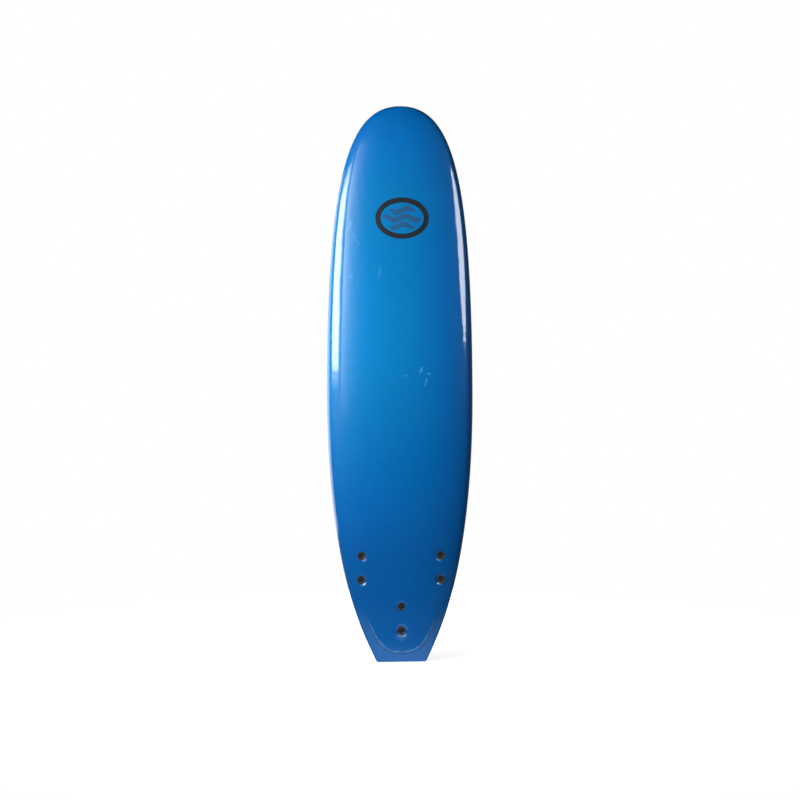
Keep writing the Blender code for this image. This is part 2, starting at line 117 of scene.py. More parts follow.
FLANGE = 0.0065
RECESS_R = 0.0075
RECESS_DEPTH = 0.012
WEB = 0.004
SCREW_R = 0.0030
SCREW_LENGTH = 0.027
SCREW_HEAD_R = 0.0065
SCREW_HEAD = 0.0045

# ---- fine detail that only the looks have

TAIL_EDGE_R = 0.0015
TAIL_CORNER_R = 0.006
BAND_EDGE = 0.002
SHOULDER_WIDTH = 0.009
CREASE_WIDTH = 0.0030
CREASE_GROOVE = 0.0014
SLICK_START_Z = 0.0364
SLICK_EASE = 0.0004
SLICK_EASE_WIDTH = 0.0015

# Dimples round the plugs: they end at DIMPLE_R, and press only what lies near the flange's top
DIMPLE_R = 0.027
DIMPLE_FLAT = 0.001
DIMPLE_REACH = 0.010
DIMPLE_DEPTHS = {
    "left_front": 0.0004,
    "left_rear": 0.0016,
    "right_front": 0.0006,
    "right_rear": 0.0018,
    "centre_front": 0.0008,
    "centre_rear": 0.0025,
}
# A wrinkle in the foam round the tail side of the rearmost plug
WRINKLE_R = 0.029
WRINKLE_WIDTH = 0.0045
WRINKLE_RISE = 0.0014
WRINKLE_TAPER = 0.7

# Rows of the skins: each stretch's end and the step in it, closest where the crease is
ROW_STRETCHES = ((0.075, 0.0013), (0.170, 0.0026), (0.450, 0.0040), (WIDEST_Z, 0.0140))
NOSE_ROW_STEP = 0.0140
# Columns of the skins: steps in degrees over the rails, then even steps over the deck and the bottom
LOWER_RAIL_STEP = 9
RAIL_STEP = 3.5
RAIL_COLUMNS = 14
DECK_COLUMNS = 45
SLICK_COLUMNS = 5
EDGE_TURNS = np.radians((0, 22, 45, 67, 90))

WELD = 0.000005
TINY = 1e-9
HALVINGS = 40


def smooth_step(value, start, end):
    share = np.clip((value - start) / (end - start), 0.0, 1.0)
    return share * share * (3 - 2 * share)


def bezier(points, t):
    p = np.array(points, float)
    t = np.asarray(t, float)[..., None]
    s = 1 - t
    return p[0] * s**3 + p[1] * 3 * s * s * t + p[2] * 3 * s * t * t + p[3] * t**3


def bezier_slope(points, t):
    p = np.array(points, float)
    t = np.asarray(t, float)[..., None]
    s = 1 - t
    return (p[1] - p[0]) * s * s + (p[2] - p[1]) * 2 * s * t + (p[3] - p[2]) * t * t


# ---- shape of the board


def bottom_y(z):
    """Y of the bottom surface: flat amidships, curving towards the deck at tail and nose."""
    flat_y = TAIL_END_HEIGHT / 2 + TAIL_ROCKER
    to_tail = np.clip((FLAT_START - z) / FLAT_START, 0, None)
    to_nose = np.clip((z - FLAT_END) / (LENGTH - FLAT_END), 0, None)
    return flat_y - TAIL_ROCKER * to_tail**TAIL_ROCKER_POWER - NOSE_ROCKER * to_nose**NOSE_ROCKER_POWER


def thickness(z):
    to_tail = np.clip((THICKEST_Z - z) / THICKEST_Z, 0, None)
    to_nose = np.clip((z - THICKEST_Z) / (LENGTH - THICKEST_Z), 0, None)
    tail_loss = (THICKNESS - TAIL_THICKNESS) * to_tail**TAIL_FOIL_POWER
    return THICKNESS - tail_loss - (THICKNESS - NOSE_THICKNESS) * to_nose**NOSE_FOIL_POWER


def lower_rail(z):
    return LOWER_RAIL_TAIL + (LOWER_RAIL - LOWER_RAIL_TAIL) * smooth_step(z, 0.0, LOWER_RAIL_FULL_Z)


def rays_at(curve, t):
    """Outline points, and the points on the centreline that their cross-sections run to, both as (x, z).

    The sections are square to the centreline at the tail and square to the outline forward of it. Round the
    nose tip they all run to one point."""
    rims = bezier(curve, t)
    slopes = bezier_slope(curve, t)
    lean = smooth_step(rims[..., 1], 0.0, REACH_FULL_Z)
    steep = np.where(np.abs(slopes[..., 1]) < TINY, 1.0, slopes[..., 1])
    along = rims[..., 1] + lean * rims[..., 0] * slopes[..., 0] / steep
    feet = np.stack([np.zeros_like(along), np.where(rims[..., 1] > NOSE_FAN_Z, NOSE_POLE_Z, along)], -1)
    corner = np.clip(1 - rims[..., 1] / TAIL_CORNER_R, 0, 1)
    rims[..., 0] -= TAIL_CORNER_R * (1 - np.sqrt(1 - corner**2))
    return rims, feet


def crease_distance(x, z):
    """Distance outside the U-shaped crease of the tail, in the deck's plane; negative inside it."""
    across = np.abs(x) / CREASE_REF_X
    steepness = CREASE_POWER * CREASE_RISE / CREASE_REF_X * across ** (CREASE_POWER - 1)
    return (CREASE_Z + CREASE_RISE * across**CREASE_POWER - z) / np.hypot(1.0, steepness)


def banded_height(height, inward, x, z):
    """Height of the deck with the tail's rounded shoulder, crease and bevelled band."""
    outside = crease_distance(x, z)
    fade = 1 - smooth_step(z, BAND_FADE_START, BAND_FADE_END)
    tall = smooth_step(height, TAIL_END_HEIGHT, TAIL_END_HEIGHT + BAND_EDGE)
    to_edge = np.minimum(z, inward)
    share = to_edge / np.maximum(to_edge + np.maximum(outside, 0), TINY)
    band = TAIL_END_HEIGHT + (height - SHOULDER_DROP - TAIL_END_HEIGHT) * share
    inner = height - SHOULDER_DROP * smooth_step(outside, -SHOULDER_WIDTH, 0)
    groove = CREASE_GROOVE * np.exp(-((outside / CREASE_WIDTH) ** 2))
    target = np.where(outside > 0, np.minimum(band, height), inner) - groove
    return height + (target - height) * fade * tall


def section_points(rims, feet, inward, height):
    """Points of the sections: each ray's planform point at `inward`, raised by `height` from the bottom."""
    reach = np.linalg.norm(rims - feet, axis=-1)
    flat = rims + (feet - rims) * (inward / reach)[..., None]
    return np.stack([flat[..., 0], bottom_y(flat[..., 1]) - height, flat[..., 1]], -1)


def deck_point(rims, feet, share, inset):
    """Points between the outermost point of the rail, at share 0, and the middle of the deck, at share 1."""
    reach = np.linalg.norm(rims - feet, axis=-1)
    inward = inset + (reach - inset) * share
    flat = rims + (feet - rims) * (inward / reach)[..., None]
    x, z = flat[..., 0], flat[..., 1]
    apex = APEX_SHARE * thickness(z)
    height = apex + (thickness(z) - apex) * (1 - (1 - share) ** DECK_POWER) ** (1 / DECK_POWER)
    height = banded_height(height, inward, x, z)
    crown = banded_height(thickness(z), HALF_WIDTH, 0.0, z)
    height = apex + (height - apex) * (1 - inset / (crown - apex))
    return section_points(rims, feet, inward, height)


def lower_point(rims, feet, turn, inset):
    """Points of the lower rail, from the bottom at turn 90 degrees to the outermost point at 0."""
    z = rims[..., 1]
    radius = lower_rail(z)
    apex = APEX_SHARE * thickness(z)
    inward = radius - (radius - inset) * math.cos(turn)
    return section_points(rims, feet, inward, inset + (apex - inset) * (1 - math.sin(turn)))


def deck_y(x, z):
    """Y of the deck at planform points of the fore half, by halving the range of sections they lie in."""
    x, z = np.broadcast_arrays(np.abs(np.asarray(x, float)), np.asarray(z, float))
    low, high = np.zeros(x.shape), np.ones(x.shape)
    for _ in range(HALVINGS):
        t = (low + high) / 2
        rims, feet = rays_at(NOSE_CURVE, t)
        share = 1 - x / rims[..., 0]
        reached = rims[..., 1] + (feet[..., 1] - rims[..., 1]) * share
        low, high = np.where(reached < z, t, low), np.where(reached < z, high, t)
    return deck_point(rims, feet, share, 0.0)[..., 1]


# ---- places of the fins and bolts


def fin_matrix(place):
    """At a fin's middle on the bottom: Y runs to the nose along the bottom and Z into the board."""
    step = 0.001
    rise = (bottom_y(place["z"] + step) - bottom_y(place["z"] - step)) / (2 * step)
    tilt = Matrix.Rotation(math.atan2(1.0, rise), 4, "X")
    toe = Matrix.Rotation(math.radians(place["toe"]), 4, "Z")
    return Matrix.Translation((place["x"], bottom_y(place["z"]), place["z"])) @ tilt @ toe


def bolt_places():
    """Each bolt's name, the matrix of its axis, and its plug's top, as the CAD's plug has it."""
    found = {}
    for side, place in FINS.items():
        for end, along in (("front", BOLT_SPACING / 2), ("rear", -BOLT_SPACING / 2)):
            name = f"{side}_{end}"
            matrix = fin_matrix(place) @ Matrix.Translation((0, along, 0))
            inverse = matrix.inverted()
            plug = frame["nodes"][f"deck_plug_{name}"]
            found[name] = (matrix, max((inverse @ v.co).z for v in plug.data.vertices))
    return found


BOLTS = bolt_places()


def press_dimples(points):
    """Pulls the deck down to each plug's flange, where the bolt clamps the foam."""
    for name, (matrix, top) in BOLTS.items():
        turn = np.array(matrix.to_3x3())
        offset = points - np.array(matrix @ Vector((0, 0, top)))
        normal = turn[:, 2]
        above = offset @ normal
        radius = np.linalg.norm(offset - above[..., None] * normal, axis=-1)
        level = np.abs(above) < DIMPLE_REACH
        pull = 1 - smooth_step(radius, FLANGE_R - DIMPLE_FLAT, DIMPLE_R)
        pressed = np.clip(above + DIMPLE_DEPTHS[name], 0, None) * pull
        drop = np.where(level & (radius < DIMPLE_R), pressed, 0.0)
        if name == "centre_rear":
            side = np.clip(offset @ -turn[:, 1] / np.maximum(radius, TINY), 0, 1) ** WRINKLE_TAPER
            ridge = WRINKLE_RISE * np.exp(-(((radius - WRINKLE_R) / WRINKLE_WIDTH) ** 2)) * side
            drop = drop - np.where(level, ridge, 0.0)
        points = points - drop[..., None] * normal
    return points


# ---- mesh helpers


def linked(name, data):
    made = bpy.data.objects.new(name, data)
    bpy.context.scene.collection.objects.link(made)
    return made


def add_piece(name, mesh, slot, *nodes):
    """A piece that rides on the board, takes its finish from a slot, and stands for CAD nodes."""
    piece = linked(name, mesh)
    mesh.materials.clear()
    mesh.materials.append(MATERIALS[slot])
    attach(piece, "root")
    if nodes:
        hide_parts(*nodes)


def mesh_from(bm, smooth_angle=35, merge=WELD):
    bmesh.ops.remove_doubles(bm, verts=bm.verts, dist=merge)
    bmesh.ops.recalc_face_normals(bm, faces=bm.faces)
    mesh = bpy.data.meshes.new("made")
    bm.to_mesh(mesh)
    bm.free()
    mesh.shade_smooth()
    mesh.set_sharp_from_angle(angle=math.radians(smooth_angle))
    return mesh


def add_grid(bm, points):
    """Quads over a rows x columns array of points. Returns the grid of vertices."""
    verts = [[bm.verts.new(p) for p in row] for row in points]
    for low, high in zip(verts, verts[1:]):
        for a, b, c, d in zip(low, low[1:], high[1:], high):
            bm.faces.new((a, b, c, d))
    return verts


def add_capped_tube(bm, rings):
    """Faces between rings of vertices that follow each other, and a cap on the first and the last."""
    for low, high in zip(rings, rings[1:]):
        for a, b, c, d in zip(low, low[1:] + low[:1], high[1:] + high[:1], high):
            bm.faces.new((a, b, c, d))
    bm.faces.new(rings[0])
    bm.faces.new(rings[-1])


def open_edges(bm):
    return [edge for edge in bm.edges if edge.is_boundary]


def mirror_to_left(bm):
    """Copies the right half to the left and welds the two."""
    copied = bmesh.ops.duplicate(bm, geom=bm.verts[:] + bm.edges[:] + bm.faces[:])["geom"]
    verts = [v for v in copied if isinstance(v, bmesh.types.BMVert)]
    bmesh.ops.scale(bm, vec=(-1, 1, 1), verts=verts)
    bmesh.ops.reverse_faces(bm, faces=[f for f in copied if isinstance(f, bmesh.types.BMFace)])
    bmesh.ops.remove_doubles(bm, verts=bm.verts, dist=WELD)


def turned_mesh(profile, steps=64):
    """A solid turned about Z from (radius, height) points, which form a closed loop or end on the axis."""
    bm = bmesh.new()
    verts = [bm.verts.new((radius, 0.0, height)) for radius, height in profile]
    closed = profile[0][0] > 0
    pairs = list(zip(verts, verts[1:])) + ([(verts[-1], verts[0])] if closed else [])
    edges = [bm.edges.new(pair) for pair in pairs]
    around = {"cent": (0, 0, 0), "axis": (0, 0, 1), "angle": 2 * math.pi}
    bmesh.ops.spin(bm, geom=verts + edges, steps=steps, use_merge=True, **around)
    return mesh_from(bm)


def arc(centre, radius, start, end, steps):
    """(radius, height) points along an arc of a turned profile, with angles in degrees."""
    turns = [math.radians(start + (end - start) * k / steps) for k in range(steps + 1)]
    return [(centre[0] + radius * math.cos(t), centre[1] + radius * math.sin(t)) for t in turns]


def cut(mesh, cutter, sharp_angle, operation="DIFFERENCE"):
    """The mesh after a Boolean with another one, with its sharp edges marked again."""
    target, tool = linked("target", mesh), linked("tool", cutter)
    modifier = target.modifiers.new("cut", "BOOLEAN")
    modifier.operation = operation
    modifier.object = tool
    modifier.solver = "MANIFOLD"
    graph = bpy.context.evaluated_depsgraph_get()
    result = bpy.data.meshes.new_from_object(target.evaluated_get(graph))
    bpy.data.objects.remove(target)
    bpy.data.objects.remove(tool)
    result.set_sharp_from_angle(angle=math.radians(sharp_angle))
    return result


def placed(mesh, matrix):
    mesh.transform(matrix)
    return mesh


def bolt_cutter(radius, low, high):
    """Six rods, one on each bolt's axis. low and high are functions of the plug's top."""
    bm = bmesh.new()
    for matrix, top in BOLTS.values():
        start, end = low(top), high(top)
        middle = matrix @ Matrix.Translation((0, 0, (start + end) / 2))
        size = {"segments": 64, "radius1": radius, "radius2": radius, "depth": end - start}
        bmesh.ops.create_cone(bm, cap_ends=True, matrix=middle, **size)
    return mesh_from(bm)


# ---- node helpers


class Nodes:
    """The node tree of a material, light or world, with short calls to add nodes."""

    def __init__(self, owner):
        owner.use_nodes = True
        self.tree = owner.node_tree

    def add(self, kind, **settings):
        """Adds a node. Capitalised settings are inputs, with _ for a space, and the others are properties."""
        node = self.tree.nodes.new("ShaderNode" + kind)
        for key, value in settings.items():
            if key[0].isupper():
                self.put(node.inputs[key.replace("_", " ")], value)
            else:
                setattr(node, key, value)
        return node

    def put(self, socket, value):
        """Links an input to another socket, or sets it to a number, a vector or a colour."""
        if isinstance(value, bpy.types.NodeSocket):
            self.tree.links.new(value, socket)
        elif socket.type == "RGBA":
            socket.default_value = (*value, 1.0)
        else:
            socket.default_value = value

    def put_all(self, node, values):
        for socket, value in zip(node.inputs, values):
            self.put(socket, value)
        return node.outputs[0]

    def place(self):
        return self.add("TexCoord").outputs["Object"]

    def axes(self, vector):
        """The X, Y and Z of a vector."""
        return self.add("SeparateXYZ", Vector=vector).outputs

    def length(self, vector):
        node = self.add("VectorMath", operation="LENGTH")
        self.put(node.inputs[0], vector)
        return node.outputs["Value"]

    def math(self, operation, *values):
        return self.put_all(self.add("Math", operation=operation), values)

    def product(self, first, *others):
        for other in others:
            first = self.math("MULTIPLY", first, other)
        return first

    def scaled(self, vector, scale):
        return self.put_all(self.add("VectorMath", operation="MULTIPLY"), (vector, scale))

    def ramp(self, value, span, out=(0.0, 1.0), kind="SMOOTHSTEP"):
        """Carries a value from a span to the range `out`, and holds it there beyond the span's ends."""
        ends = {"From_Min": span[0], "From_Max": span[1], "To_Min": out[0], "To_Max": out[1]}
        return self.add("MapRange", interpolation_type=kind, Value=value, **ends).outputs["Result"]

    def mix(self, factor, a, b):
        """A colour between a and b."""
        node = self.add("Mix", data_type="RGBA")
        inputs = {socket.identifier: socket for socket in node.inputs}
        for name, value in (("Factor_Float", factor), ("A_Color", a), ("B_Color", b)):
            self.put(inputs[name], value)
        return next(socket for socket in node.outputs if socket.identifier == "Result_Color")

    def noise(self, scale, detail=3.0, roughness=0.5, stretch=None, distortion=0.0):
        place = self.scaled(self.place(), stretch) if stretch else self.place()
        inputs = {"Scale": scale, "Detail": detail, "Roughness": roughness, "Distortion": distortion}
        return self.add("TexNoise", Vector=place, **inputs).outputs["Fac"]

    def patches(self, *noise, span=(0.3, 0.7), out=(0.0, 1.0)):
        return self.ramp(self.noise(*noise), span, out)

    def bump(self, height, strength, distance, under=None):
        """A normal with a relief, over the normal `under` if that is given."""
        node = self.add("Bump", Height=height, Strength=strength, Distance=distance)
        if under:
            self.put(node.inputs["Normal"], under)
        return node.outputs["Normal"]

    def for_camera(self, other, camera):
        """One shader for the camera's own rays and another for light and reflections."""
        is_camera = self.add("LightPath").outputs["Is Camera Ray"]
        return self.put_all(self.add("MixShader"), (is_camera, other, camera))


class Paint(Nodes):
    """A material with a Principled shader."""

    def __init__(self, name, metallic=0.0):
        self.material = bpy.data.materials.new(name)
        super().__init__(self.material)
        self.shader = self.tree.nodes["Principled BSDF"]
        self.set(Metallic=metallic)

    def set(self, **inputs):
        for name, value in inputs.items():
            self.put(self.shader.inputs[name.replace("_", " ")], value)


# ---- materials

BLACK = (0.0, 0.0, 0.0)
# Roughness of the foam and the bottom sheet, clear of 0.3, where the studio's panels leave visible steps
SATIN = (0.36, 0.46)

# The blue shifts towards the tail and the nose, and darkens towards the right rail: painted shade on the side
# away from the key light. Each pair is where a shift begins and ends.
DECK_BLUE = (0.0, 0.158, 0.414)
DECK_BLUE_TAIL = (0.0, 0.134, 0.485)
DECK_BLUE_NOSE = (0.0, 0.158, 0.530)
DECK_BLUE_SHADED_RIGHT = (0.0, 0.126, 0.445)
TAIL_FADE_Z = (0.35, 1.20)
NOSE_FADE_Z = (1.75, 2.08)
RIGHT_SHADE_X = (0.0, 0.26)
# Blotches in the blue: the noise's scale, detail and roughness, its span, and how dark they are
BLOTCHES = (((2.3, 1.5, 0.5), (0.25, 0.75), 0.07), ((45, 5, 0.6), (0.3, 0.7), 0.05))

# The gloss film: fine orange peel and slow waves, as noise scales, with strengths and depths of relief
PEEL_SCALE = 190
PEEL = (0.06, 0.0004)
COAT_PEEL = (0.05, 0.0004)
WAVE_SCALE = 14
COAT_WAVE = (0.34, 0.002)
COAT_ROUGHNESS = (0.035, 0.085)
PRINT_COAT_ROUGHNESS = (0.06, 0.12)
COAT_IOR = 1.45

# Painted shade and highlight at the tail's crease: a dark line in the crease and a lighter line along the
# shoulder inside it; and scuffs
CREASE_SHADE = (0.004, 0.045, 0.150)
CREASE_SHADE_WIDTH = 0.0042
CREASE_SHADE_SHARE = 0.62
SHOULDER_HIGHLIGHT_OFFSET = -0.0075
SHOULDER_HIGHLIGHT_WIDTH = 0.0048
CREASE_SHADE_AND_HIGHLIGHT_Z = (BAND_FADE_START, 0.20)
DECK_SIDE_Y = (0.012, 0.020)
# Lighter blue for scuffs, and for the painted highlights on dents and inside the crease
SCUFF_AND_HIGHLIGHT_BLUE = (0.10, 0.36, 0.68)
SCUFF_ROUGHNESS = 0.3
SCUFF_RELIEF = (0.25, 0.0004)
SCUFF_EDGE = (0.35, 1.0)
# Each mark's x, z, half length, half width, turn in degrees and strength. The four near z 1.1 on the right
# are lighter where small dents catch the light: real dents with a painted highlight. The rest are scuffs.
SCUFFS_AND_GLINTS = (
    (0.021, 1.105, 0.010, 0.004, 40, 0.8),
    (0.079, 1.125, 0.022, 0.007, 62, 0.8),
    (0.098, 1.080, 0.024, 0.006, 75, 0.8),
    (0.110, 1.112, 0.012, 0.005, 20, 0.8),
    (-0.190, 1.490, 0.030, 0.0012, 80, 0.8),
    (-0.165, 1.470, 0.020, 0.0010, 70, 0.8),
    (-0.195, 1.485, 0.016, 0.0030, 5, 0.4),
    (-0.168, 1.625, 0.045, 0.0040, 118, 0.3),
    (-0.195, 1.680, 0.030, 0.0090, 70, 0.3),
    (-0.081, 1.500, 0.045, 0.0090, 86, 0.22),
    (0.110, 1.800, 0.012, 0.0020, 80, 0.4),
    (-0.245, 1.418, 0.008, 0.003, 10, 0.8),
    (0.142, 0.360, 0.008, 0.003, 70, 0.8),
)


def scuff_and_glint_mask(paint):
    """Where the deck is scuffed, or lighter where dents catch the light (a painted highlight), from 0 to 1: a
    few soft streaks, broken up by noise.
    """
    total = 0.0
    for x, z, long, wide, turn, strength in SCUFFS_AND_GLINTS:
        node = paint.add("Mapping", vector_type="TEXTURE", Vector=paint.place())
        paint.put(node.inputs["Location"], (x, 0, z))
        paint.put(node.inputs["Rotation"], (0, -math.radians(turn), 0))
        paint.put(node.inputs["Scale"], (long, 1.0, wide))
        from_middle = paint.length(paint.scaled(node.outputs["Vector"], (1, 0, 1)))
        total = paint.math("MAXIMUM", total, paint.ramp(from_middle, SCUFF_EDGE, (strength, 0.0)))
    return paint.product(total, paint.patches(260, 4, 0.6, span=(0.42, 0.58)))


def crease_mask(paint, offset, width):
    """A line along the tail's crease, from 0 to 1, `offset` outside it and fading out up the sides. It places
    painted shade and a painted highlight.
    """
    x, y, z = paint.axes(paint.place())
    across = paint.math("DIVIDE", paint.math("ABSOLUTE", x), CREASE_REF_X)
    rise = paint.product(paint.math("POWER", across, CREASE_POWER), CREASE_RISE)
    slope = paint.math("POWER", across, CREASE_POWER - 1)
    steepness = paint.product(slope, CREASE_POWER * CREASE_RISE / CREASE_REF_X)
    slant = paint.math("SQRT", paint.math("MULTIPLY_ADD", steepness, steepness, 1.0))
    above = paint.math("SUBTRACT", paint.math("ADD", rise, CREASE_Z), z)
    outside = paint.math("DIVIDE", above, slant)
    off = paint.math("ABSOLUTE", paint.math("SUBTRACT", outside, offset))
    limits = ((off, (0.0, width)), (z, CREASE_SHADE_AND_HIGHLIGHT_Z), (y, DECK_SIDE_Y))
    return paint.product(*(paint.ramp(value, span, (1.0, 0.0)) for value, span in limits))


def deck_material():
    """Glossy film over blue foam: soft colour drift with painted shade towards the right, orange peel, a few
    scuffs with painted highlights on dents, and painted shade and highlight at the crease.
    """
    paint = Paint("deck_foam_gloss")
    x, _, z = paint.axes(paint.place())
    colour = paint.mix(paint.ramp(z, TAIL_FADE_Z), DECK_BLUE_TAIL, DECK_BLUE)
    colour = paint.mix(paint.ramp(z, NOSE_FADE_Z), colour, DECK_BLUE_NOSE)
    # Painted shade: darker towards the right rail, away from the key light
    colour = paint.mix(paint.ramp(x, RIGHT_SHADE_X), colour, DECK_BLUE_SHADED_RIGHT)
    for noise, span, dark in BLOTCHES:
        colour = paint.mix(paint.patches(*noise, span=span, out=(0.0, dark)), colour, BLACK)
    # Painted shade: a dark line along the crease, where its groove falls into shade
    crease_shade = paint.product(crease_mask(paint, 0.0, CREASE_SHADE_WIDTH), CREASE_SHADE_SHARE)
    colour = paint.mix(crease_shade, colour, CREASE_SHADE)
    # Painted highlight: a lighter line just inside the crease, along the shoulder that catches the light,
    # broken up by noise
    uneven = paint.patches(60, span=(0.40, 0.62), out=(0.1, 0.8))
    shoulder_highlight = paint.product(crease_mask(paint, SHOULDER_HIGHLIGHT_OFFSET, SHOULDER_HIGHLIGHT_WIDTH), uneven)
    scuffs_and_highlights = paint.math("MAXIMUM", scuff_and_glint_mask(paint), shoulder_highlight)
    haze = paint.patches(9, 5, 0.6, span=(0.3, 0.75), out=SATIN)
    paint.set(
        Base_Color=paint.mix(scuffs_and_highlights, colour, SCUFF_AND_HIGHLIGHT_BLUE),
        Roughness=paint.math("ADD", haze, paint.product(scuffs_and_highlights, SCUFF_ROUGHNESS)),
        Specular_IOR_Level=0.06,
        Coat_Weight=0.9,
        Coat_Roughness=paint.patches(WAVE_SCALE, 4, 0.6, out=COAT_ROUGHNESS),
        Coat_IOR=COAT_IOR,
    )
    peel = paint.bump(paint.noise(PEEL_SCALE, 2), *PEEL)
    wave = paint.bump(paint.noise(WAVE_SCALE, 2), *COAT_WAVE)
    paint.set(
        Normal=paint.bump(scuffs_and_highlights, *SCUFF_RELIEF, peel),
        Coat_Normal=paint.bump(paint.noise(PEEL_SCALE, 2), *COAT_PEEL, wave),
    )
    return paint.material


def print_material(name, colour, other):
    """Ink under the deck's gloss film."""
    paint = Paint(name)
    paint.set(
        Base_Color=paint.mix(paint.patches(60, 5, 0.65), colour, other),
        Roughness=0.34,
        Specular_IOR_Level=0.3,
        Coat_Weight=0.7,
        Coat_Roughness=paint.patches(WAVE_SCALE, 4, 0.6, out=PRINT_COAT_ROUGHNESS),
        Normal=paint.bump(paint.noise(PEEL_SCALE, 2), *PEEL),
    )
    return paint.material


def slick_material():
    """Polyethylene sheet: satin, faintly clouded and speckled, with fine scratches along the board."""
    paint = Paint("slick_sheet")
    cloud = paint.patches(3.5, 2, span=(0.2, 0.8))
    colour = paint.mix(cloud, (0.84, 0.86, 0.88), (0.88, 0.89, 0.90))
    colour = paint.mix(paint.patches(85, 5, 0.7, out=(0.0, 0.14)), colour, (0.60, 0.63, 0.66))
    lines = paint.noise(1.0, 4, 0.7, (420, 420, 9))
    scratches = paint.ramp(lines, (0.66, 0.74))
    haze = paint.ramp(cloud, (0, 1), SATIN)
    paint.set(
        Base_Color=paint.mix(paint.product(scratches, 0.25), colour, (0.55, 0.58, 0.61)),
        Roughness=paint.math("ADD", haze, paint.product(scratches, 0.2)),
        Subsurface_Weight=0.05,
        Subsurface_Radius=(0.004, 0.004, 0.004),
        Normal=paint.bump(lines, 0.10, 0.0002, paint.bump(paint.noise(30, 2), 0.05, 0.001)),
    )
    return paint.material


def bead_material(name, base, seam_colour, bead_scale):
    """Fused foam beads: a cell pattern with darker seams."""
    paint = Paint(name)
    kind = {"feature": "DISTANCE_TO_EDGE", "Vector": paint.place(), "Scale": bead_scale}
    to_edge = paint.add("TexVoronoi", **kind).outputs["Distance"]
    paint.set(
        Base_Color=paint.mix(paint.ramp(to_edge, (0.0, 0.10), (1.0, 0.0)), base, seam_colour),
        Roughness=paint.patches(bead_scale, out=(0.75, 0.92)),
        Normal=paint.bump(to_edge, 0.5, 0.001),
    )
    return paint.material


def wood_material():
    """Sawn softwood with its grain along the board."""
    paint = Paint("stringer_wood")
    grain = paint.noise(1.0, 6, 0.65, (220, 60, 3.0), 0.6)
    fibre = paint.noise(1.0, 3, 0.5, (2600, 900, 25))
    colour = paint.mix(paint.ramp(grain, (0.35, 0.68)), (0.62, 0.43, 0.24), (0.40, 0.24, 0.11))
    paint.set(
        Base_Color=paint.mix(paint.ramp(fibre, (0.5, 0.75), (0.0, 0.3)), colour, (0.30, 0.17, 0.08)),
        Roughness=paint.ramp(grain, (0.3, 0.7), (0.52, 0.70)),
        Normal=paint.bump(fibre, 0.3, 0.0003),
    )
    return paint.material


def plastic_material(name, colour, roughness, grain_scale, grain):
    """Moulded plastic with a fine sparked grain, paler dusty patches and light scratches."""
    paint = Paint(name)
    lighter = tuple(c * 2 + 0.002 for c in colour)
    streaks = paint.patches(1.0, 4, 0.7, (600, 60, 60), span=(0.62, 0.72))
    haze = paint.patches(70, 4, 0.6, out=(roughness * 0.8, roughness * 1.25))
    paint.set(
        Base_Color=paint.mix(paint.patches(38, 5, 0.65, span=(0.45, 0.75)), colour, lighter),
        Roughness=paint.math("ADD", haze, paint.product(streaks, 0.12)),
        Normal=paint.bump(paint.noise(grain_scale, 3, 0.6), grain, 0.0003),
    )
    return paint.material


def metal_material(name, colour, dull_colour, roughness, brush):
    """Turned or drawn metal: fine brushing and dull patches. `brush` is the noise's scale along each axis."""
    paint = Paint(name, metallic=1.0)
    lines = paint.noise(1.0, 4, 0.6, brush)
    dull = paint.patches(320, 5, 0.65, span=(0.40, 0.72))
    haze = paint.ramp(lines, (0.3, 0.7), (roughness * 0.7, roughness * 1.3))
    paint.set(
        Base_Color=paint.mix(dull, colour, dull_colour),
        Roughness=paint.math("ADD", haze, paint.product(dull, 0.18)),
        Normal=paint.bump(lines, 0.12, 0.0001),
    )
    return paint.material


FINE_BEADS = 700
COARSE_BEADS = 260
# Steel far darker than bare metal: painted shade of the deep recess in each plug, where the screw heads sit
SHADED_STEEL = ((0.11, 0.10, 0.10), (0.04, 0.03, 0.03), 0.42, (900, 900, 900))
BRASS = ((0.72, 0.52, 0.22), (0.45, 0.30, 0.12), 0.30, (60, 3000, 60))

MATERIALS = {
    "deck_foam": deck_material(),
    "slick": slick_material(),
    "layer_foam": bead_material("layer_foam_cells", (0.66, 0.68, 0.70), (0.55, 0.57, 0.60), FINE_BEADS),
    "core_foam": bead_material("core_foam_beads", (0.86, 0.86, 0.84), (0.62, 0.62, 0.60), COARSE_BEADS),
    "wood": wood_material(),
    "fin_plastic": plastic_material("fin_black", (0.018, 0.018, 0.020), 0.44, 1500, 0.25),
    "plug_plastic": plastic_material("plug_black", (0.002, 0.003, 0.005), 0.44, 2200, 0.10),
    "screw_steel": metal_material("screw_steel_painted_shade", *SHADED_STEEL),
    "insert_brass": metal_material("insert_turned_brass", *BRASS),
    "print_dark": print_material("print_charcoal", (0.008, 0.013, 0.018), (0.014, 0.018, 0.023)),
    "print_blue": print_material("print_slate_blue", (0.009, 0.074, 0.185), (0.013, 0.086, 0.205)),
}


# ---- the skins

OUTLINE_STEPS = 4001
SKIN_SHARP = 50
CUTTER_SPARE = 0.03


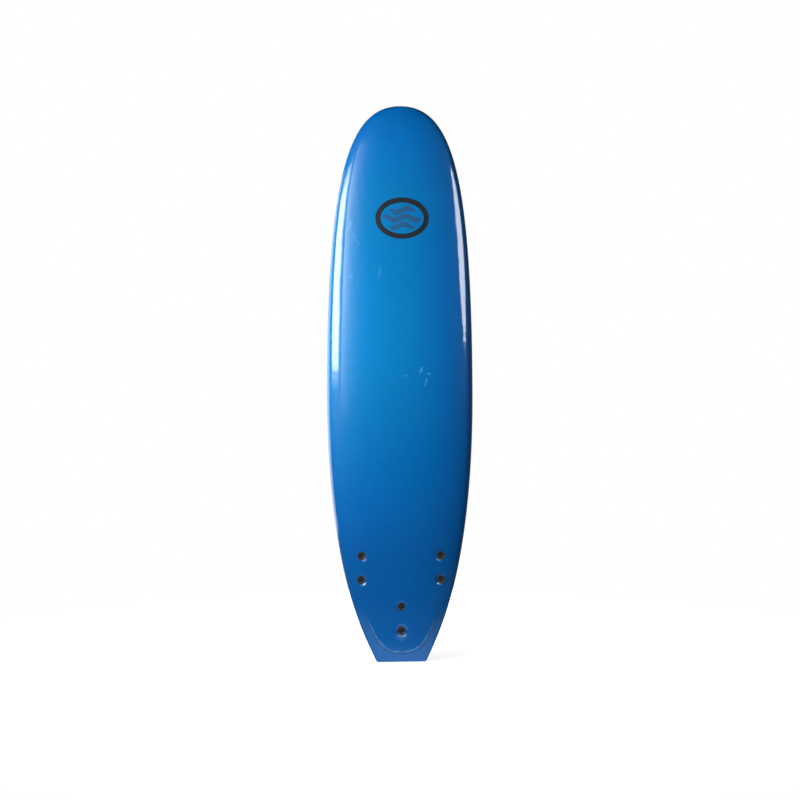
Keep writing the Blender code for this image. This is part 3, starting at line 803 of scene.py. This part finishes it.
def section_rows():
    """The rays of all the rows from tail to nose, and how far in each row lies at the tail's soft edge."""
    edge = TAIL_EDGE_R * (1 - np.cos(EDGE_TURNS))
    stretches = [edge]
    for end, step in ROW_STRETCHES:
        stretches.append(np.arange(stretches[-1][-1] + step, end - step / 2, step))
    table = np.linspace(0, 1, OUTLINE_STEPS)
    tail_t = np.interp(np.concatenate(stretches), bezier(TAIL_CURVE, table)[:, 1], table)
    nose = bezier(NOSE_CURVE, table)
    run = np.concatenate([[0], np.cumsum(np.linalg.norm(np.diff(nose, axis=0), axis=1))])
    nose_t = np.interp(np.linspace(0, run[-1], int(run[-1] / NOSE_ROW_STEP)), run, table)
    rays = zip(rays_at(TAIL_CURVE, tail_t), rays_at(NOSE_CURVE, nose_t))
    rims, feet = (np.concatenate(pair) for pair in rays)
    rims[: len(edge), 1] = feet[: len(edge), 1] = edge
    off = np.clip(TAIL_EDGE_R - rims[:, 1], 0, None)
    return rims, feet, TAIL_EDGE_R - np.sqrt(TAIL_EDGE_R**2 - off**2)


def slick_start_row(rims, feet, past=0.0):
    """Moves the row where the bottom sheet starts to that place, or just past it. Returns its number."""
    first = int(np.argmax(rims[:, 1] >= SLICK_START_Z))
    rims[first, 1] = feet[first, 1] = SLICK_START_Z + past
    return first


def deck_shares():
    """Columns from the outermost point of the rail to mid deck: close together on the rail's curve."""
    rail = 1 - np.cos(np.radians(RAIL_STEP * np.arange(RAIL_COLUMNS))) ** (2 / DECK_POWER)
    return np.concatenate([rail, np.linspace(rail[-1], 1, DECK_COLUMNS + 1)[1:]])


def skin_points(rims, feet, inset):
    """Points over the lip, the lower rail, the rail and the deck, for each row."""
    columns = [section_points(rims, feet, np.full(len(rims), SLICK_INSET), inset)]
    columns += [lower_point(rims, feet, math.radians(turn), inset) for turn in range(90, 0, -LOWER_RAIL_STEP)]
    columns += [deck_point(rims, feet, share, inset) for share in deck_shares()]
    return np.stack(columns, 1)


def add_skin_side(bm, points, feet, inset, last):
    """The right half of one side of the skin. Up to the row `last` its lip runs on to the centreline."""
    points[:, -1, 0] = 0.0
    lip = [row[0] for row in add_grid(bm, points)]
    along = zip(feet[: last + 1, 1], inset)
    middle = [bm.verts.new((0.0, bottom_y(z) - deep, z)) for z, deep in along]
    for a, b, c, d in zip(middle, lip, lip[1:], middle[1:]):
        bm.faces.new((a, b, c, d))


def make_deck_skin():
    """The foam skin as a closed shell, with its lip under the edge of the bottom and holes for the plugs."""
    rims, feet, inset = section_rows()
    first = slick_start_row(rims, feet)
    bm = bmesh.new()
    add_skin_side(bm, press_dimples(skin_points(rims, feet, inset)), feet, inset, first)
    start = int(np.argmax(rims[:, 1] > 1.5 * DECK_SKIN)) - 1
    rims, feet = rims[start:], feet[start:]
    rims[0, 1] = feet[0, 1] = DECK_SKIN
    inset = np.full(len(rims), DECK_SKIN)
    add_skin_side(bm, skin_points(rims, feet, inset), feet, inset, first - start)
    mirror_to_left(bm)
    for z in (0.0, DECK_SKIN):
        end = [edge for edge in open_edges(bm) if all(abs(v.co.z - z) < WELD for v in edge.verts)]
        bmesh.ops.contextual_create(bm, geom=end)
    bmesh.ops.bridge_loops(bm, edges=open_edges(bm))
    holes = bolt_cutter(FLANGE_R + GAP, lambda top: top - FLANGE - GAP, lambda top: top + CUTTER_SPARE)
    skin = cut(mesh_from(bm, SKIN_SHARP), holes, SKIN_SHARP)
    add_piece("deck_skin_fine", skin, "deck_foam", "deck_skin")


def make_slick():
    """The bottom sheet in the skin's opening, with softened edges and holes for the fin posts."""
    rims, feet, _ = section_rows()
    first = slick_start_row(rims, feet, GAP)
    rims, feet = rims[first:], feet[first:]
    edge = SLICK_INSET + GAP
    flat = edge + SLICK_EASE_WIDTH
    reach = np.linalg.norm(rims - feet, axis=-1)
    inwards = [flat + (reach - flat) * share for share in np.linspace(1, 0, SLICK_COLUMNS + 1)]
    inwards.append(np.full(len(rims), edge))
    bm = bmesh.new()
    for height, ease in ((0.0, SLICK_EASE), (SLICK, 0.0)):
        points = np.stack([section_points(rims, feet, inward, height) for inward in inwards], 1)
        points[:, 0, 0] = 0.0
        points[:, -1, 1] -= ease
        points[0, :, 1] -= ease
        add_grid(bm, points)
    mirror_to_left(bm)
    bmesh.ops.bridge_loops(bm, edges=open_edges(bm))
    holes = bolt_cutter(POST_R + GAP, lambda top: -CUTTER_SPARE, lambda top: TUBE_BOTTOM)
    slick = cut(mesh_from(bm, SKIN_SHARP), holes, SKIN_SHARP)
    add_piece("bottom_slick_fine", slick, "slick", "bottom_slick")


# ---- fins

FIN_SHARP = 40
FOIL_COLUMNS = 25
# Rows of the blade as shares of its depth, closest together at the root's flare and at the tip
BLADE_ROWS = (0, 0.004, 0.008, 0.014, 0.022, 0.034, *np.linspace(0.05, 0.97, 24), 0.985, 0.995, 1.0)
BLADE_EDGE = 0.00035
BLADE_EDGE_POWER = 0.2
BLADE_FLARE_R = 0.0035
BLADE_FLARE_POWER = 0.3
BLADE_TIP_START = 0.97
BLADE_TIP_LEAST = 0.02
BASE_EDGE_R = 0.0014
BASE_END_STEPS = 16
POST_EASE = 0.0006
FINE_WELD = 0.000001


def foil_half_thickness(share):
    """Half thickness of the NACA four-digit foil, as a share of its chord times its thickness ratio."""
    powers = ((0.2969, 0.5), (-0.1260, 1), (-0.3516, 2), (0.2843, 3), (-0.1015, 4))
    return 5 * sum(factor * share**power for factor, power in powers)


def blade_ring(t, around, lean):
    """The blade's section at a share t of its depth. `around` lists shares of the chord and sides."""
    front, back = bezier(FIN_LEADING, t), bezier(FIN_TRAILING, t)
    chord = np.linalg.norm(front - back)
    depth = (front[1] + back[1]) / 2
    flare = BLADE_FLARE_R - math.sqrt(BLADE_FLARE_R**2 - max(BLADE_FLARE_R - depth, 0) ** 2)
    to_tip = max((t - BLADE_TIP_START) / (1 - BLADE_TIP_START), 0)
    tip = math.sqrt(max(1 - to_tip**2, BLADE_TIP_LEAST))
    ring = []
    for share, side in around:
        spot = front + (back - front) * share
        bulge = math.sin(math.pi * share)
        half = max(foil_half_thickness(share) * FIN_FOIL * chord, 0.0) + BLADE_EDGE * bulge**BLADE_EDGE_POWER
        half = half * tip + flare * bulge**BLADE_FLARE_POWER
        deep = spot[1] + FIN_BASE
        ring.append((side * half - deep * lean, spot[0] + flare * math.cos(math.pi * share), -deep))
    return ring


def blade_mesh(cant):
    """A swept blade from foil sections, with a small flare at its root and a rounded tip."""
    shares = (1 - np.cos(np.linspace(0, math.pi, FOIL_COLUMNS))) / 2
    around = [(share, 1) for share in shares] + [(share, -1) for share in shares[-2:0:-1]]
    rings = [blade_ring(t, around, math.tan(math.radians(cant))) for t in BLADE_ROWS]
    root = [(across, along, -FIN_BASE / 2) for across, along, _ in rings[0]]
    bm = bmesh.new()
    add_capped_tube(bm, [[bm.verts.new(point) for point in ring] for ring in [root] + rings])
    return mesh_from(bm, FIN_SHARP, FINE_WELD)


def base_ring(radius, height):
    """An outline with half-round ends."""
    middle = (FIN_BASE_LENGTH - FIN_BASE_WIDTH) / 2
    ring = []
    for end in (1, -1):
        for k in range(BASE_END_STEPS + 1):
            turn = math.pi * k / BASE_END_STEPS
            across, along = radius * math.cos(turn), middle + radius * math.sin(turn)
            ring.append((end * across, end * along, height))
    return ring


def base_mesh():
    """The fin's base: a plate with half-round ends and a rounded outer edge."""
    bm = bmesh.new()
    outer = -FIN_BASE - GAP
    rings = [base_ring(FIN_BASE_WIDTH / 2, -GAP)]
    for turn in EDGE_TURNS:
        shrink, rise = BASE_EDGE_R * (1 - math.cos(turn)), BASE_EDGE_R * (1 - math.sin(turn))
        rings.append(base_ring(FIN_BASE_WIDTH / 2 - shrink, outer + rise))
    add_capped_tube(bm, [[bm.verts.new(point) for point in ring] for ring in rings])
    return mesh_from(bm, FIN_SHARP, FINE_WELD)


def post_mesh():
    """A post with a chamfered top and a blind hole for the insert."""
    low = -FIN_BASE * 0.7
    hole = INSERT_R + GAP
    floor = INSERT_BOTTOM - GAP
    profile = [(0.0, low), (POST_R, low), (POST_R, POST_TOP - POST_EASE), (POST_R - POST_EASE, POST_TOP)]
    profile += [(hole, POST_TOP), (hole, floor), (0.0, floor)]
    return turned_mesh(profile, 40)


def make_fins():
    for side, place in FINS.items():
        matrix = fin_matrix(place)
        fin = placed(base_mesh(), matrix)
        fin = cut(fin, placed(blade_mesh(place["cant"]), matrix), FIN_SHARP, "UNION")
        for along in (BOLT_SPACING / 2, -BOLT_SPACING / 2):
            post = placed(post_mesh(), matrix @ Matrix.Translation((0, along, 0)))
            fin = cut(fin, post, FIN_SHARP, "UNION")
        add_piece(f"fin_{side}_fine", fin, "fin_plastic", f"fin_{side}")


# ---- plugs and screws

PLUG_RIM_R = 0.0011
PLUG_CROWN = 0.0030
PLUG_CROWN_DROP = 0.00005
PLUG_STEP = 0.0006
PLUG_STEP_DROP = 0.0005
PLUG_DISH_DROP = 0.0006
PLUG_DISH = 0.0030
PLUG_MOUTH_R = 0.0016
SCREW_PLAY = 0.0004
HEAD_EDGE = 0.0003
HEAD_LIP_R = 0.0012
HEAD_DOME_R = 0.0115
SCREW_POINT = (0.0008, 0.0015)
SCREW_STEPS = 48
SCREW_SHARP = 35
SCREW_TURNS = (18, 52, 7, 71, 33, 60)
# The cross recess at its floor and just above the head: half width, half length and height
CROSS_LEVELS = ((0.0009, 0.0022, SCREW_HEAD - 0.0026), (0.0013, 0.0046, SCREW_HEAD + 0.001))


def plug_mesh(top):
    """A flanged tube, with a rolled rim, a soft crown and a dished mouth round the screw's recess."""
    seat = top - RECESS_DEPTH
    bore = POST_R + GAP
    hole = SCREW_R + SCREW_PLAY
    crown = FLANGE_R - PLUG_CROWN
    profile = [(bore, TUBE_BOTTOM), (TUBE_R, TUBE_BOTTOM), (TUBE_R, top - FLANGE), (FLANGE_R, top - FLANGE)]
    profile += arc((FLANGE_R - PLUG_RIM_R, top - PLUG_RIM_R), PLUG_RIM_R, 0, 90, 6)
    profile += [(crown, top - PLUG_CROWN_DROP), (crown - PLUG_STEP, top - PLUG_STEP_DROP)]
    profile += [(RECESS_R + PLUG_DISH, top - PLUG_DISH_DROP)]
    profile += arc((RECESS_R + PLUG_MOUTH_R, top - PLUG_DISH_DROP - PLUG_MOUTH_R), PLUG_MOUTH_R, 90, 180, 5)
    profile += [(RECESS_R, seat), (hole, seat), (hole, seat - WEB), (bore, seat - WEB)]
    return turned_mesh(profile)


def screw_mesh():
    """A pan-head screw with a domed head that sits on height zero."""
    lip_r = SCREW_HEAD_R - HEAD_LIP_R
    start = math.degrees(math.acos(lip_r / HEAD_DOME_R))
    dome = arc((0, SCREW_HEAD - HEAD_DOME_R), HEAD_DOME_R, start, 90, 7)
    taper, point = SCREW_POINT
    profile = [(0.0, -SCREW_LENGTH), (SCREW_R - taper, -SCREW_LENGTH), (SCREW_R, point - SCREW_LENGTH)]
    profile += [(SCREW_R, 0.0), (SCREW_HEAD_R - HEAD_EDGE, 0.0), (SCREW_HEAD_R, HEAD_EDGE)]
    profile += arc((lip_r, dome[0][1] - HEAD_LIP_R), HEAD_LIP_R, 0, 60, 4)
    profile += dome[:-1] + [(0.0, SCREW_HEAD)]
    return turned_mesh(profile, SCREW_STEPS)


def cross_mesh():
    """Cutter for the cross recess: two tapering slots."""
    bm = bmesh.new()
    for turn in (0, 90):
        spin = Matrix.Rotation(math.radians(turn), 4, "Z")
        rings = []
        for width, length, height in CROSS_LEVELS:
            corners = [(-width, -length), (width, -length), (width, length), (-width, length)]
            rings.append([bm.verts.new(spin @ Vector((x, y, height))) for x, y in corners])
        add_capped_tube(bm, rings)
    return mesh_from(bm)


def make_bolts():
    for (name, (matrix, top)), turn in zip(BOLTS.items(), SCREW_TURNS):
        plug = placed(plug_mesh(top), matrix)
        add_piece(f"deck_plug_{name}_fine", plug, "plug_plastic", f"deck_plug_{name}")
        lift = Matrix.Translation((0, 0, top - RECESS_DEPTH + GAP))
        seat = matrix @ lift @ Matrix.Rotation(math.radians(turn), 4, "Z")
        screw = cut(placed(screw_mesh(), seat), placed(cross_mesh(), seat), SCREW_SHARP)
        add_piece(f"fin_screw_{name}_fine", screw, "screw_steel", f"fin_screw_{name}")


# ---- printed emblem

EMBLEM_CENTRE = np.array((0.006, 1.709))
EMBLEM_HALF = np.array((0.103, 0.079))
EMBLEM_RING = 0.020
RING_STEPS = 144
WAVE_LEVELS = (0.030, 0.0, -0.030)
WAVE_MARGIN = 0.005
WAVE_HALF = 0.0105
WAVE_RISE = 0.0075
WAVE_TURNS = 2.5
WAVE_LAG = 0.6
WAVE_POINT = 0.022
WAVE_BLUNT = 0.02
WAVE_STEPS = 80
WAVE_CLEAR = 0.012
PRINT_PROUD = 0.00012
PRINT_THICK = 0.0004
PRINT_COLUMNS = 7
PRINT_SHARP = 60


def make_print(name, slot, inner, outer):
    """A thin closed print between two rows of planform points, lying on the deck."""
    rows = [inner + (outer - inner) * share for share in np.linspace(0, 1, PRINT_COLUMNS)]
    x, z = np.moveaxis(np.stack(rows, 1), -1, 0)
    front = np.stack([x, deck_y(x, z) - PRINT_PROUD, z], -1)
    back = front + (0, PRINT_THICK, 0)
    bm = bmesh.new()
    # Each section runs across the front, returns behind it, and ends where it began
    add_grid(bm, np.concatenate([front, back[:, ::-1], front[:, :1]], 1))
    bmesh.ops.remove_doubles(bm, verts=bm.verts, dist=WELD)
    bmesh.ops.holes_fill(bm, edges=open_edges(bm))
    add_piece(name, mesh_from(bm, PRINT_SHARP), slot)


def make_emblem():
    """A plain oval ring with three waves in it."""
    turns = np.linspace(0, 2 * math.pi, RING_STEPS + 1)
    circle = np.stack([np.cos(turns), np.sin(turns)], 1)
    inner = EMBLEM_CENTRE + circle * (EMBLEM_HALF - EMBLEM_RING)
    make_print("emblem_ring", "print_dark", inner, EMBLEM_CENTRE + circle * EMBLEM_HALF)
    inside = EMBLEM_HALF - EMBLEM_RING - WAVE_MARGIN
    for number, level in enumerate(WAVE_LEVELS):
        half = inside[0] * math.sqrt(1 - ((abs(level) + WAVE_CLEAR) / inside[1]) ** 2)
        x = np.linspace(-half, half, WAVE_STEPS + 1)
        phase = x / EMBLEM_HALF[0] * WAVE_TURNS * math.pi + WAVE_LAG * number
        crest = level + WAVE_RISE * np.sin(phase)
        body = WAVE_HALF * np.sqrt(np.clip((half - np.abs(x)) / WAVE_POINT, WAVE_BLUNT, 1))
        low, high = (EMBLEM_CENTRE + np.stack([x, crest + side * body], 1) for side in (-1, 1))
        make_print(f"emblem_wave_{number + 1}", "print_blue", low, high)


# ---- stage, light and camera

# World brightness by direction, as a span along Y, X or Z and the brightness at its ends
BEHIND_RAMP = ((-0.35, 0.5), (0.015, 1.0))
LEFT_RAMP = ((-0.7, 0.7), (0.85, 0.70))
ABOVE_RAMP = ((0.0, 0.35), (1.0, 0.05))
WORLD_TINT = (0.86, 0.93, 1.0)
WHITE = (1.0, 1.0, 1.0)

FLOOR_R = 2.2
FLOOR_DROP = 0.0005
FLOOR_PAINT = (0.9, 0.9, 0.9)
BOUNCE_TINT = (0.86, 1.0, 1.0)
# The floor's glow by distance from the board, as the camera sees it and as it lights the board
FLOOR_GLOW = ((0.05, 0.9), (0.62, 1.0))
BOUNCE_GLOW = ((0.15, 0.75), (1.15, 0.10))

CAMERA_DISTANCE = 6.0
CAMERA_TARGET = (-0.002, 0.0, 1.011)
CAMERA_ANGLES = (-3.5, 0.3, -0.2)
FRAME_WIDTH = 3.093
SENSOR_WIDTH = 36.0


def make_world():
    """White to the camera. As a light it is dim before the deck, and brighter behind it and on the left."""
    world = bpy.data.worlds.new("studio")
    bpy.context.scene.world = world
    nodes = Nodes(world)
    nodes.tree.nodes.clear()
    x, y, z = nodes.axes(nodes.add("TexCoord").outputs["Generated"])
    ramps = ((y, BEHIND_RAMP), (x, LEFT_RAMP), (z, ABOVE_RAMP))
    strength = nodes.product(*(nodes.ramp(value, *ramp) for value, ramp in ramps))
    light = nodes.add("Background", Color=WORLD_TINT, Strength=strength)
    white = nodes.add("Background", Color=WHITE)
    nodes.add("OutputWorld", Surface=nodes.for_camera(light.outputs[0], white.outputs[0]))


def softbox(name, azimuth, distance, height, size, radiance, aim, reflected=True, oval=False, fade=None):
    """A light at an azimuth seen from the board: 0 is straight in front of the deck, and negative is left.

    A reflected one shows only in the gloss, and any other lights only the surfaces' own colours. It faces the
    board's axis at the height `aim`, or straight down if that is None. `fade` is what fade_light takes."""
    lamp = bpy.data.lights.new(name, "AREA")
    lamp.shape = "ELLIPSE" if oval else "RECTANGLE"
    lamp.size, lamp.size_y = size
    lamp.energy = radiance * math.pi * size[0] * size[1] * (math.pi / 4 if oval else 1)
    made = linked(name, lamp)
    turn = math.radians(azimuth)
    made.location = (distance * math.sin(turn), -distance * math.cos(turn), height)
    if aim is not None:
        made.rotation_mode = "QUATERNION"
        made.rotation_quaternion = (Vector((0, 0, aim)) - made.location).to_track_quat("-Z", "Y")
    made.visible_camera = False
    made.visible_glossy = reflected
    made.visible_diffuse = not reflected
    if fade:
        fade_light(lamp, **fade)


def fade_light(lamp, least, power, bottom, top, sides):
    """Fades a light from 1 at its left to `least` at its right, and to 0 over these shares of its edges."""
    nodes = Nodes(lamp)
    nodes.tree.nodes.clear()
    x, y, _ = nodes.axes(nodes.add("NewGeometry").outputs["Parametric"])
    from_right = nodes.ramp(x, (0.0, 1.0), (1.0, 0.0), "LINEAR")
    across = nodes.ramp(nodes.math("POWER", from_right, power), (0.0, 1.0), (least, 1.0), "LINEAR")
    spans = ((y, (0.0, bottom)), (y, (1.0, 1.0 - top)), (x, (0.0, sides)), (x, (1.0, 1.0 - sides)))
    level = nodes.product(across, *(nodes.ramp(value, span) for value, span in spans))
    light = nodes.add("Emission", Strength=level)
    nodes.add("OutputLight", Surface=light.outputs[0])


def make_lights():
    """Two lights for the colours, and panels that show in the gloss, mostly as highlights on the rails."""
    softbox("key", -40, 1.08, 1.39, (0.5, 1.15), 13.6, aim=1.39, reflected=False)
    softbox("back_fill", 150, 3.0, 1.7, (1.6, 1.6), 6, aim=1.1, reflected=False)
    soft = {"least": 1.0, "power": 1.0, "bottom": 0.13, "top": 0.30, "sides": 0.20}
    softbox("left_panel", -43, 2.3, 1.63, (1.20, 1.12), 27, aim=1.63, fade=soft)
    hazy = {"least": 0.0, "power": 2.1, "bottom": 0.50, "top": 0.45, "sides": 0.02}
    softbox("left_glow", -15, 2.7, 1.60, (1.0, 1.7), 9.3, aim=1.60, fade=hazy)
    softbox("left_wall", -105, 2.2, 1.25, (2.4, 2.4), 5, aim=1.25)
    softbox("right_panel", 44, 2.67, 1.68, (0.82, 0.84), 17, aim=1.68, oval=True)
    softbox("low_panel", 0, 1.15, 0.68, (1.6, 0.7), 3.5, aim=None)


def floor_material():
    """Pale paint with a glow. As a light on the board it is bright only close by."""
    material = bpy.data.materials.new("floor_pale")
    nodes = Nodes(material)
    nodes.tree.nodes.clear()
    distance = nodes.length(nodes.place())
    paint = nodes.add("BsdfDiffuse", Color=FLOOR_PAINT)
    glow = nodes.add("Emission", Strength=nodes.ramp(distance, *FLOOR_GLOW))
    seen = nodes.put_all(nodes.add("AddShader"), (paint.outputs[0], glow.outputs[0]))
    near = nodes.ramp(distance, *BOUNCE_GLOW)
    bounce = nodes.add("Emission", Color=BOUNCE_TINT, Strength=near)
    nodes.add("OutputMaterial", Surface=nodes.for_camera(bounce.outputs[0], seen))
    return material


def make_floor():
    bm = bmesh.new()
    bmesh.ops.create_circle(bm, cap_ends=True, segments=96, radius=FLOOR_R)
    mesh = bpy.data.meshes.new("floor")
    bm.to_mesh(mesh)
    bm.free()
    mesh.materials.append(floor_material())
    floor = linked("floor", mesh)
    floor.location = (0, 0, -FLOOR_DROP)


def make_camera():
    azimuth, elevation, roll = (math.radians(angle) for angle in CAMERA_ANGLES)
    target = Vector(CAMERA_TARGET)
    level = Vector((math.sin(azimuth), -math.cos(azimuth), 0.0)) * math.cos(elevation)
    back = level + Vector((0, 0, math.sin(elevation)))
    data = bpy.data.cameras.new("camera")
    data.sensor_width = SENSOR_WIDTH
    data.lens = SENSOR_WIDTH * CAMERA_DISTANCE / FRAME_WIDTH
    camera = linked("camera", data)
    camera.location = target + back * CAMERA_DISTANCE
    camera.rotation_mode = "QUATERNION"
    turn = (-back).to_track_quat("-Z", "Y")
    camera.rotation_quaternion = turn @ Euler((0, 0, roll)).to_quaternion()
    bpy.context.scene.camera = camera


def dress_cad_nodes():
    """Procedural materials for the inner nodes that keep their CAD shape."""
    slots = {row["node"]: row["material_slot"] for row in frame["record"]["subparts"]}
    for name, node in frame["nodes"].items():
        if node.hide_render:
            continue
        node.data.materials.clear()
        node.data.materials.append(MATERIALS[slots[name]])


make_deck_skin()
make_slick()
make_fins()
make_bolts()
make_emblem()
dress_cad_nodes()
make_floor()
make_world()
make_lights()
make_camera()
bpy.context.scene.view_settings.view_transform = "Standard"
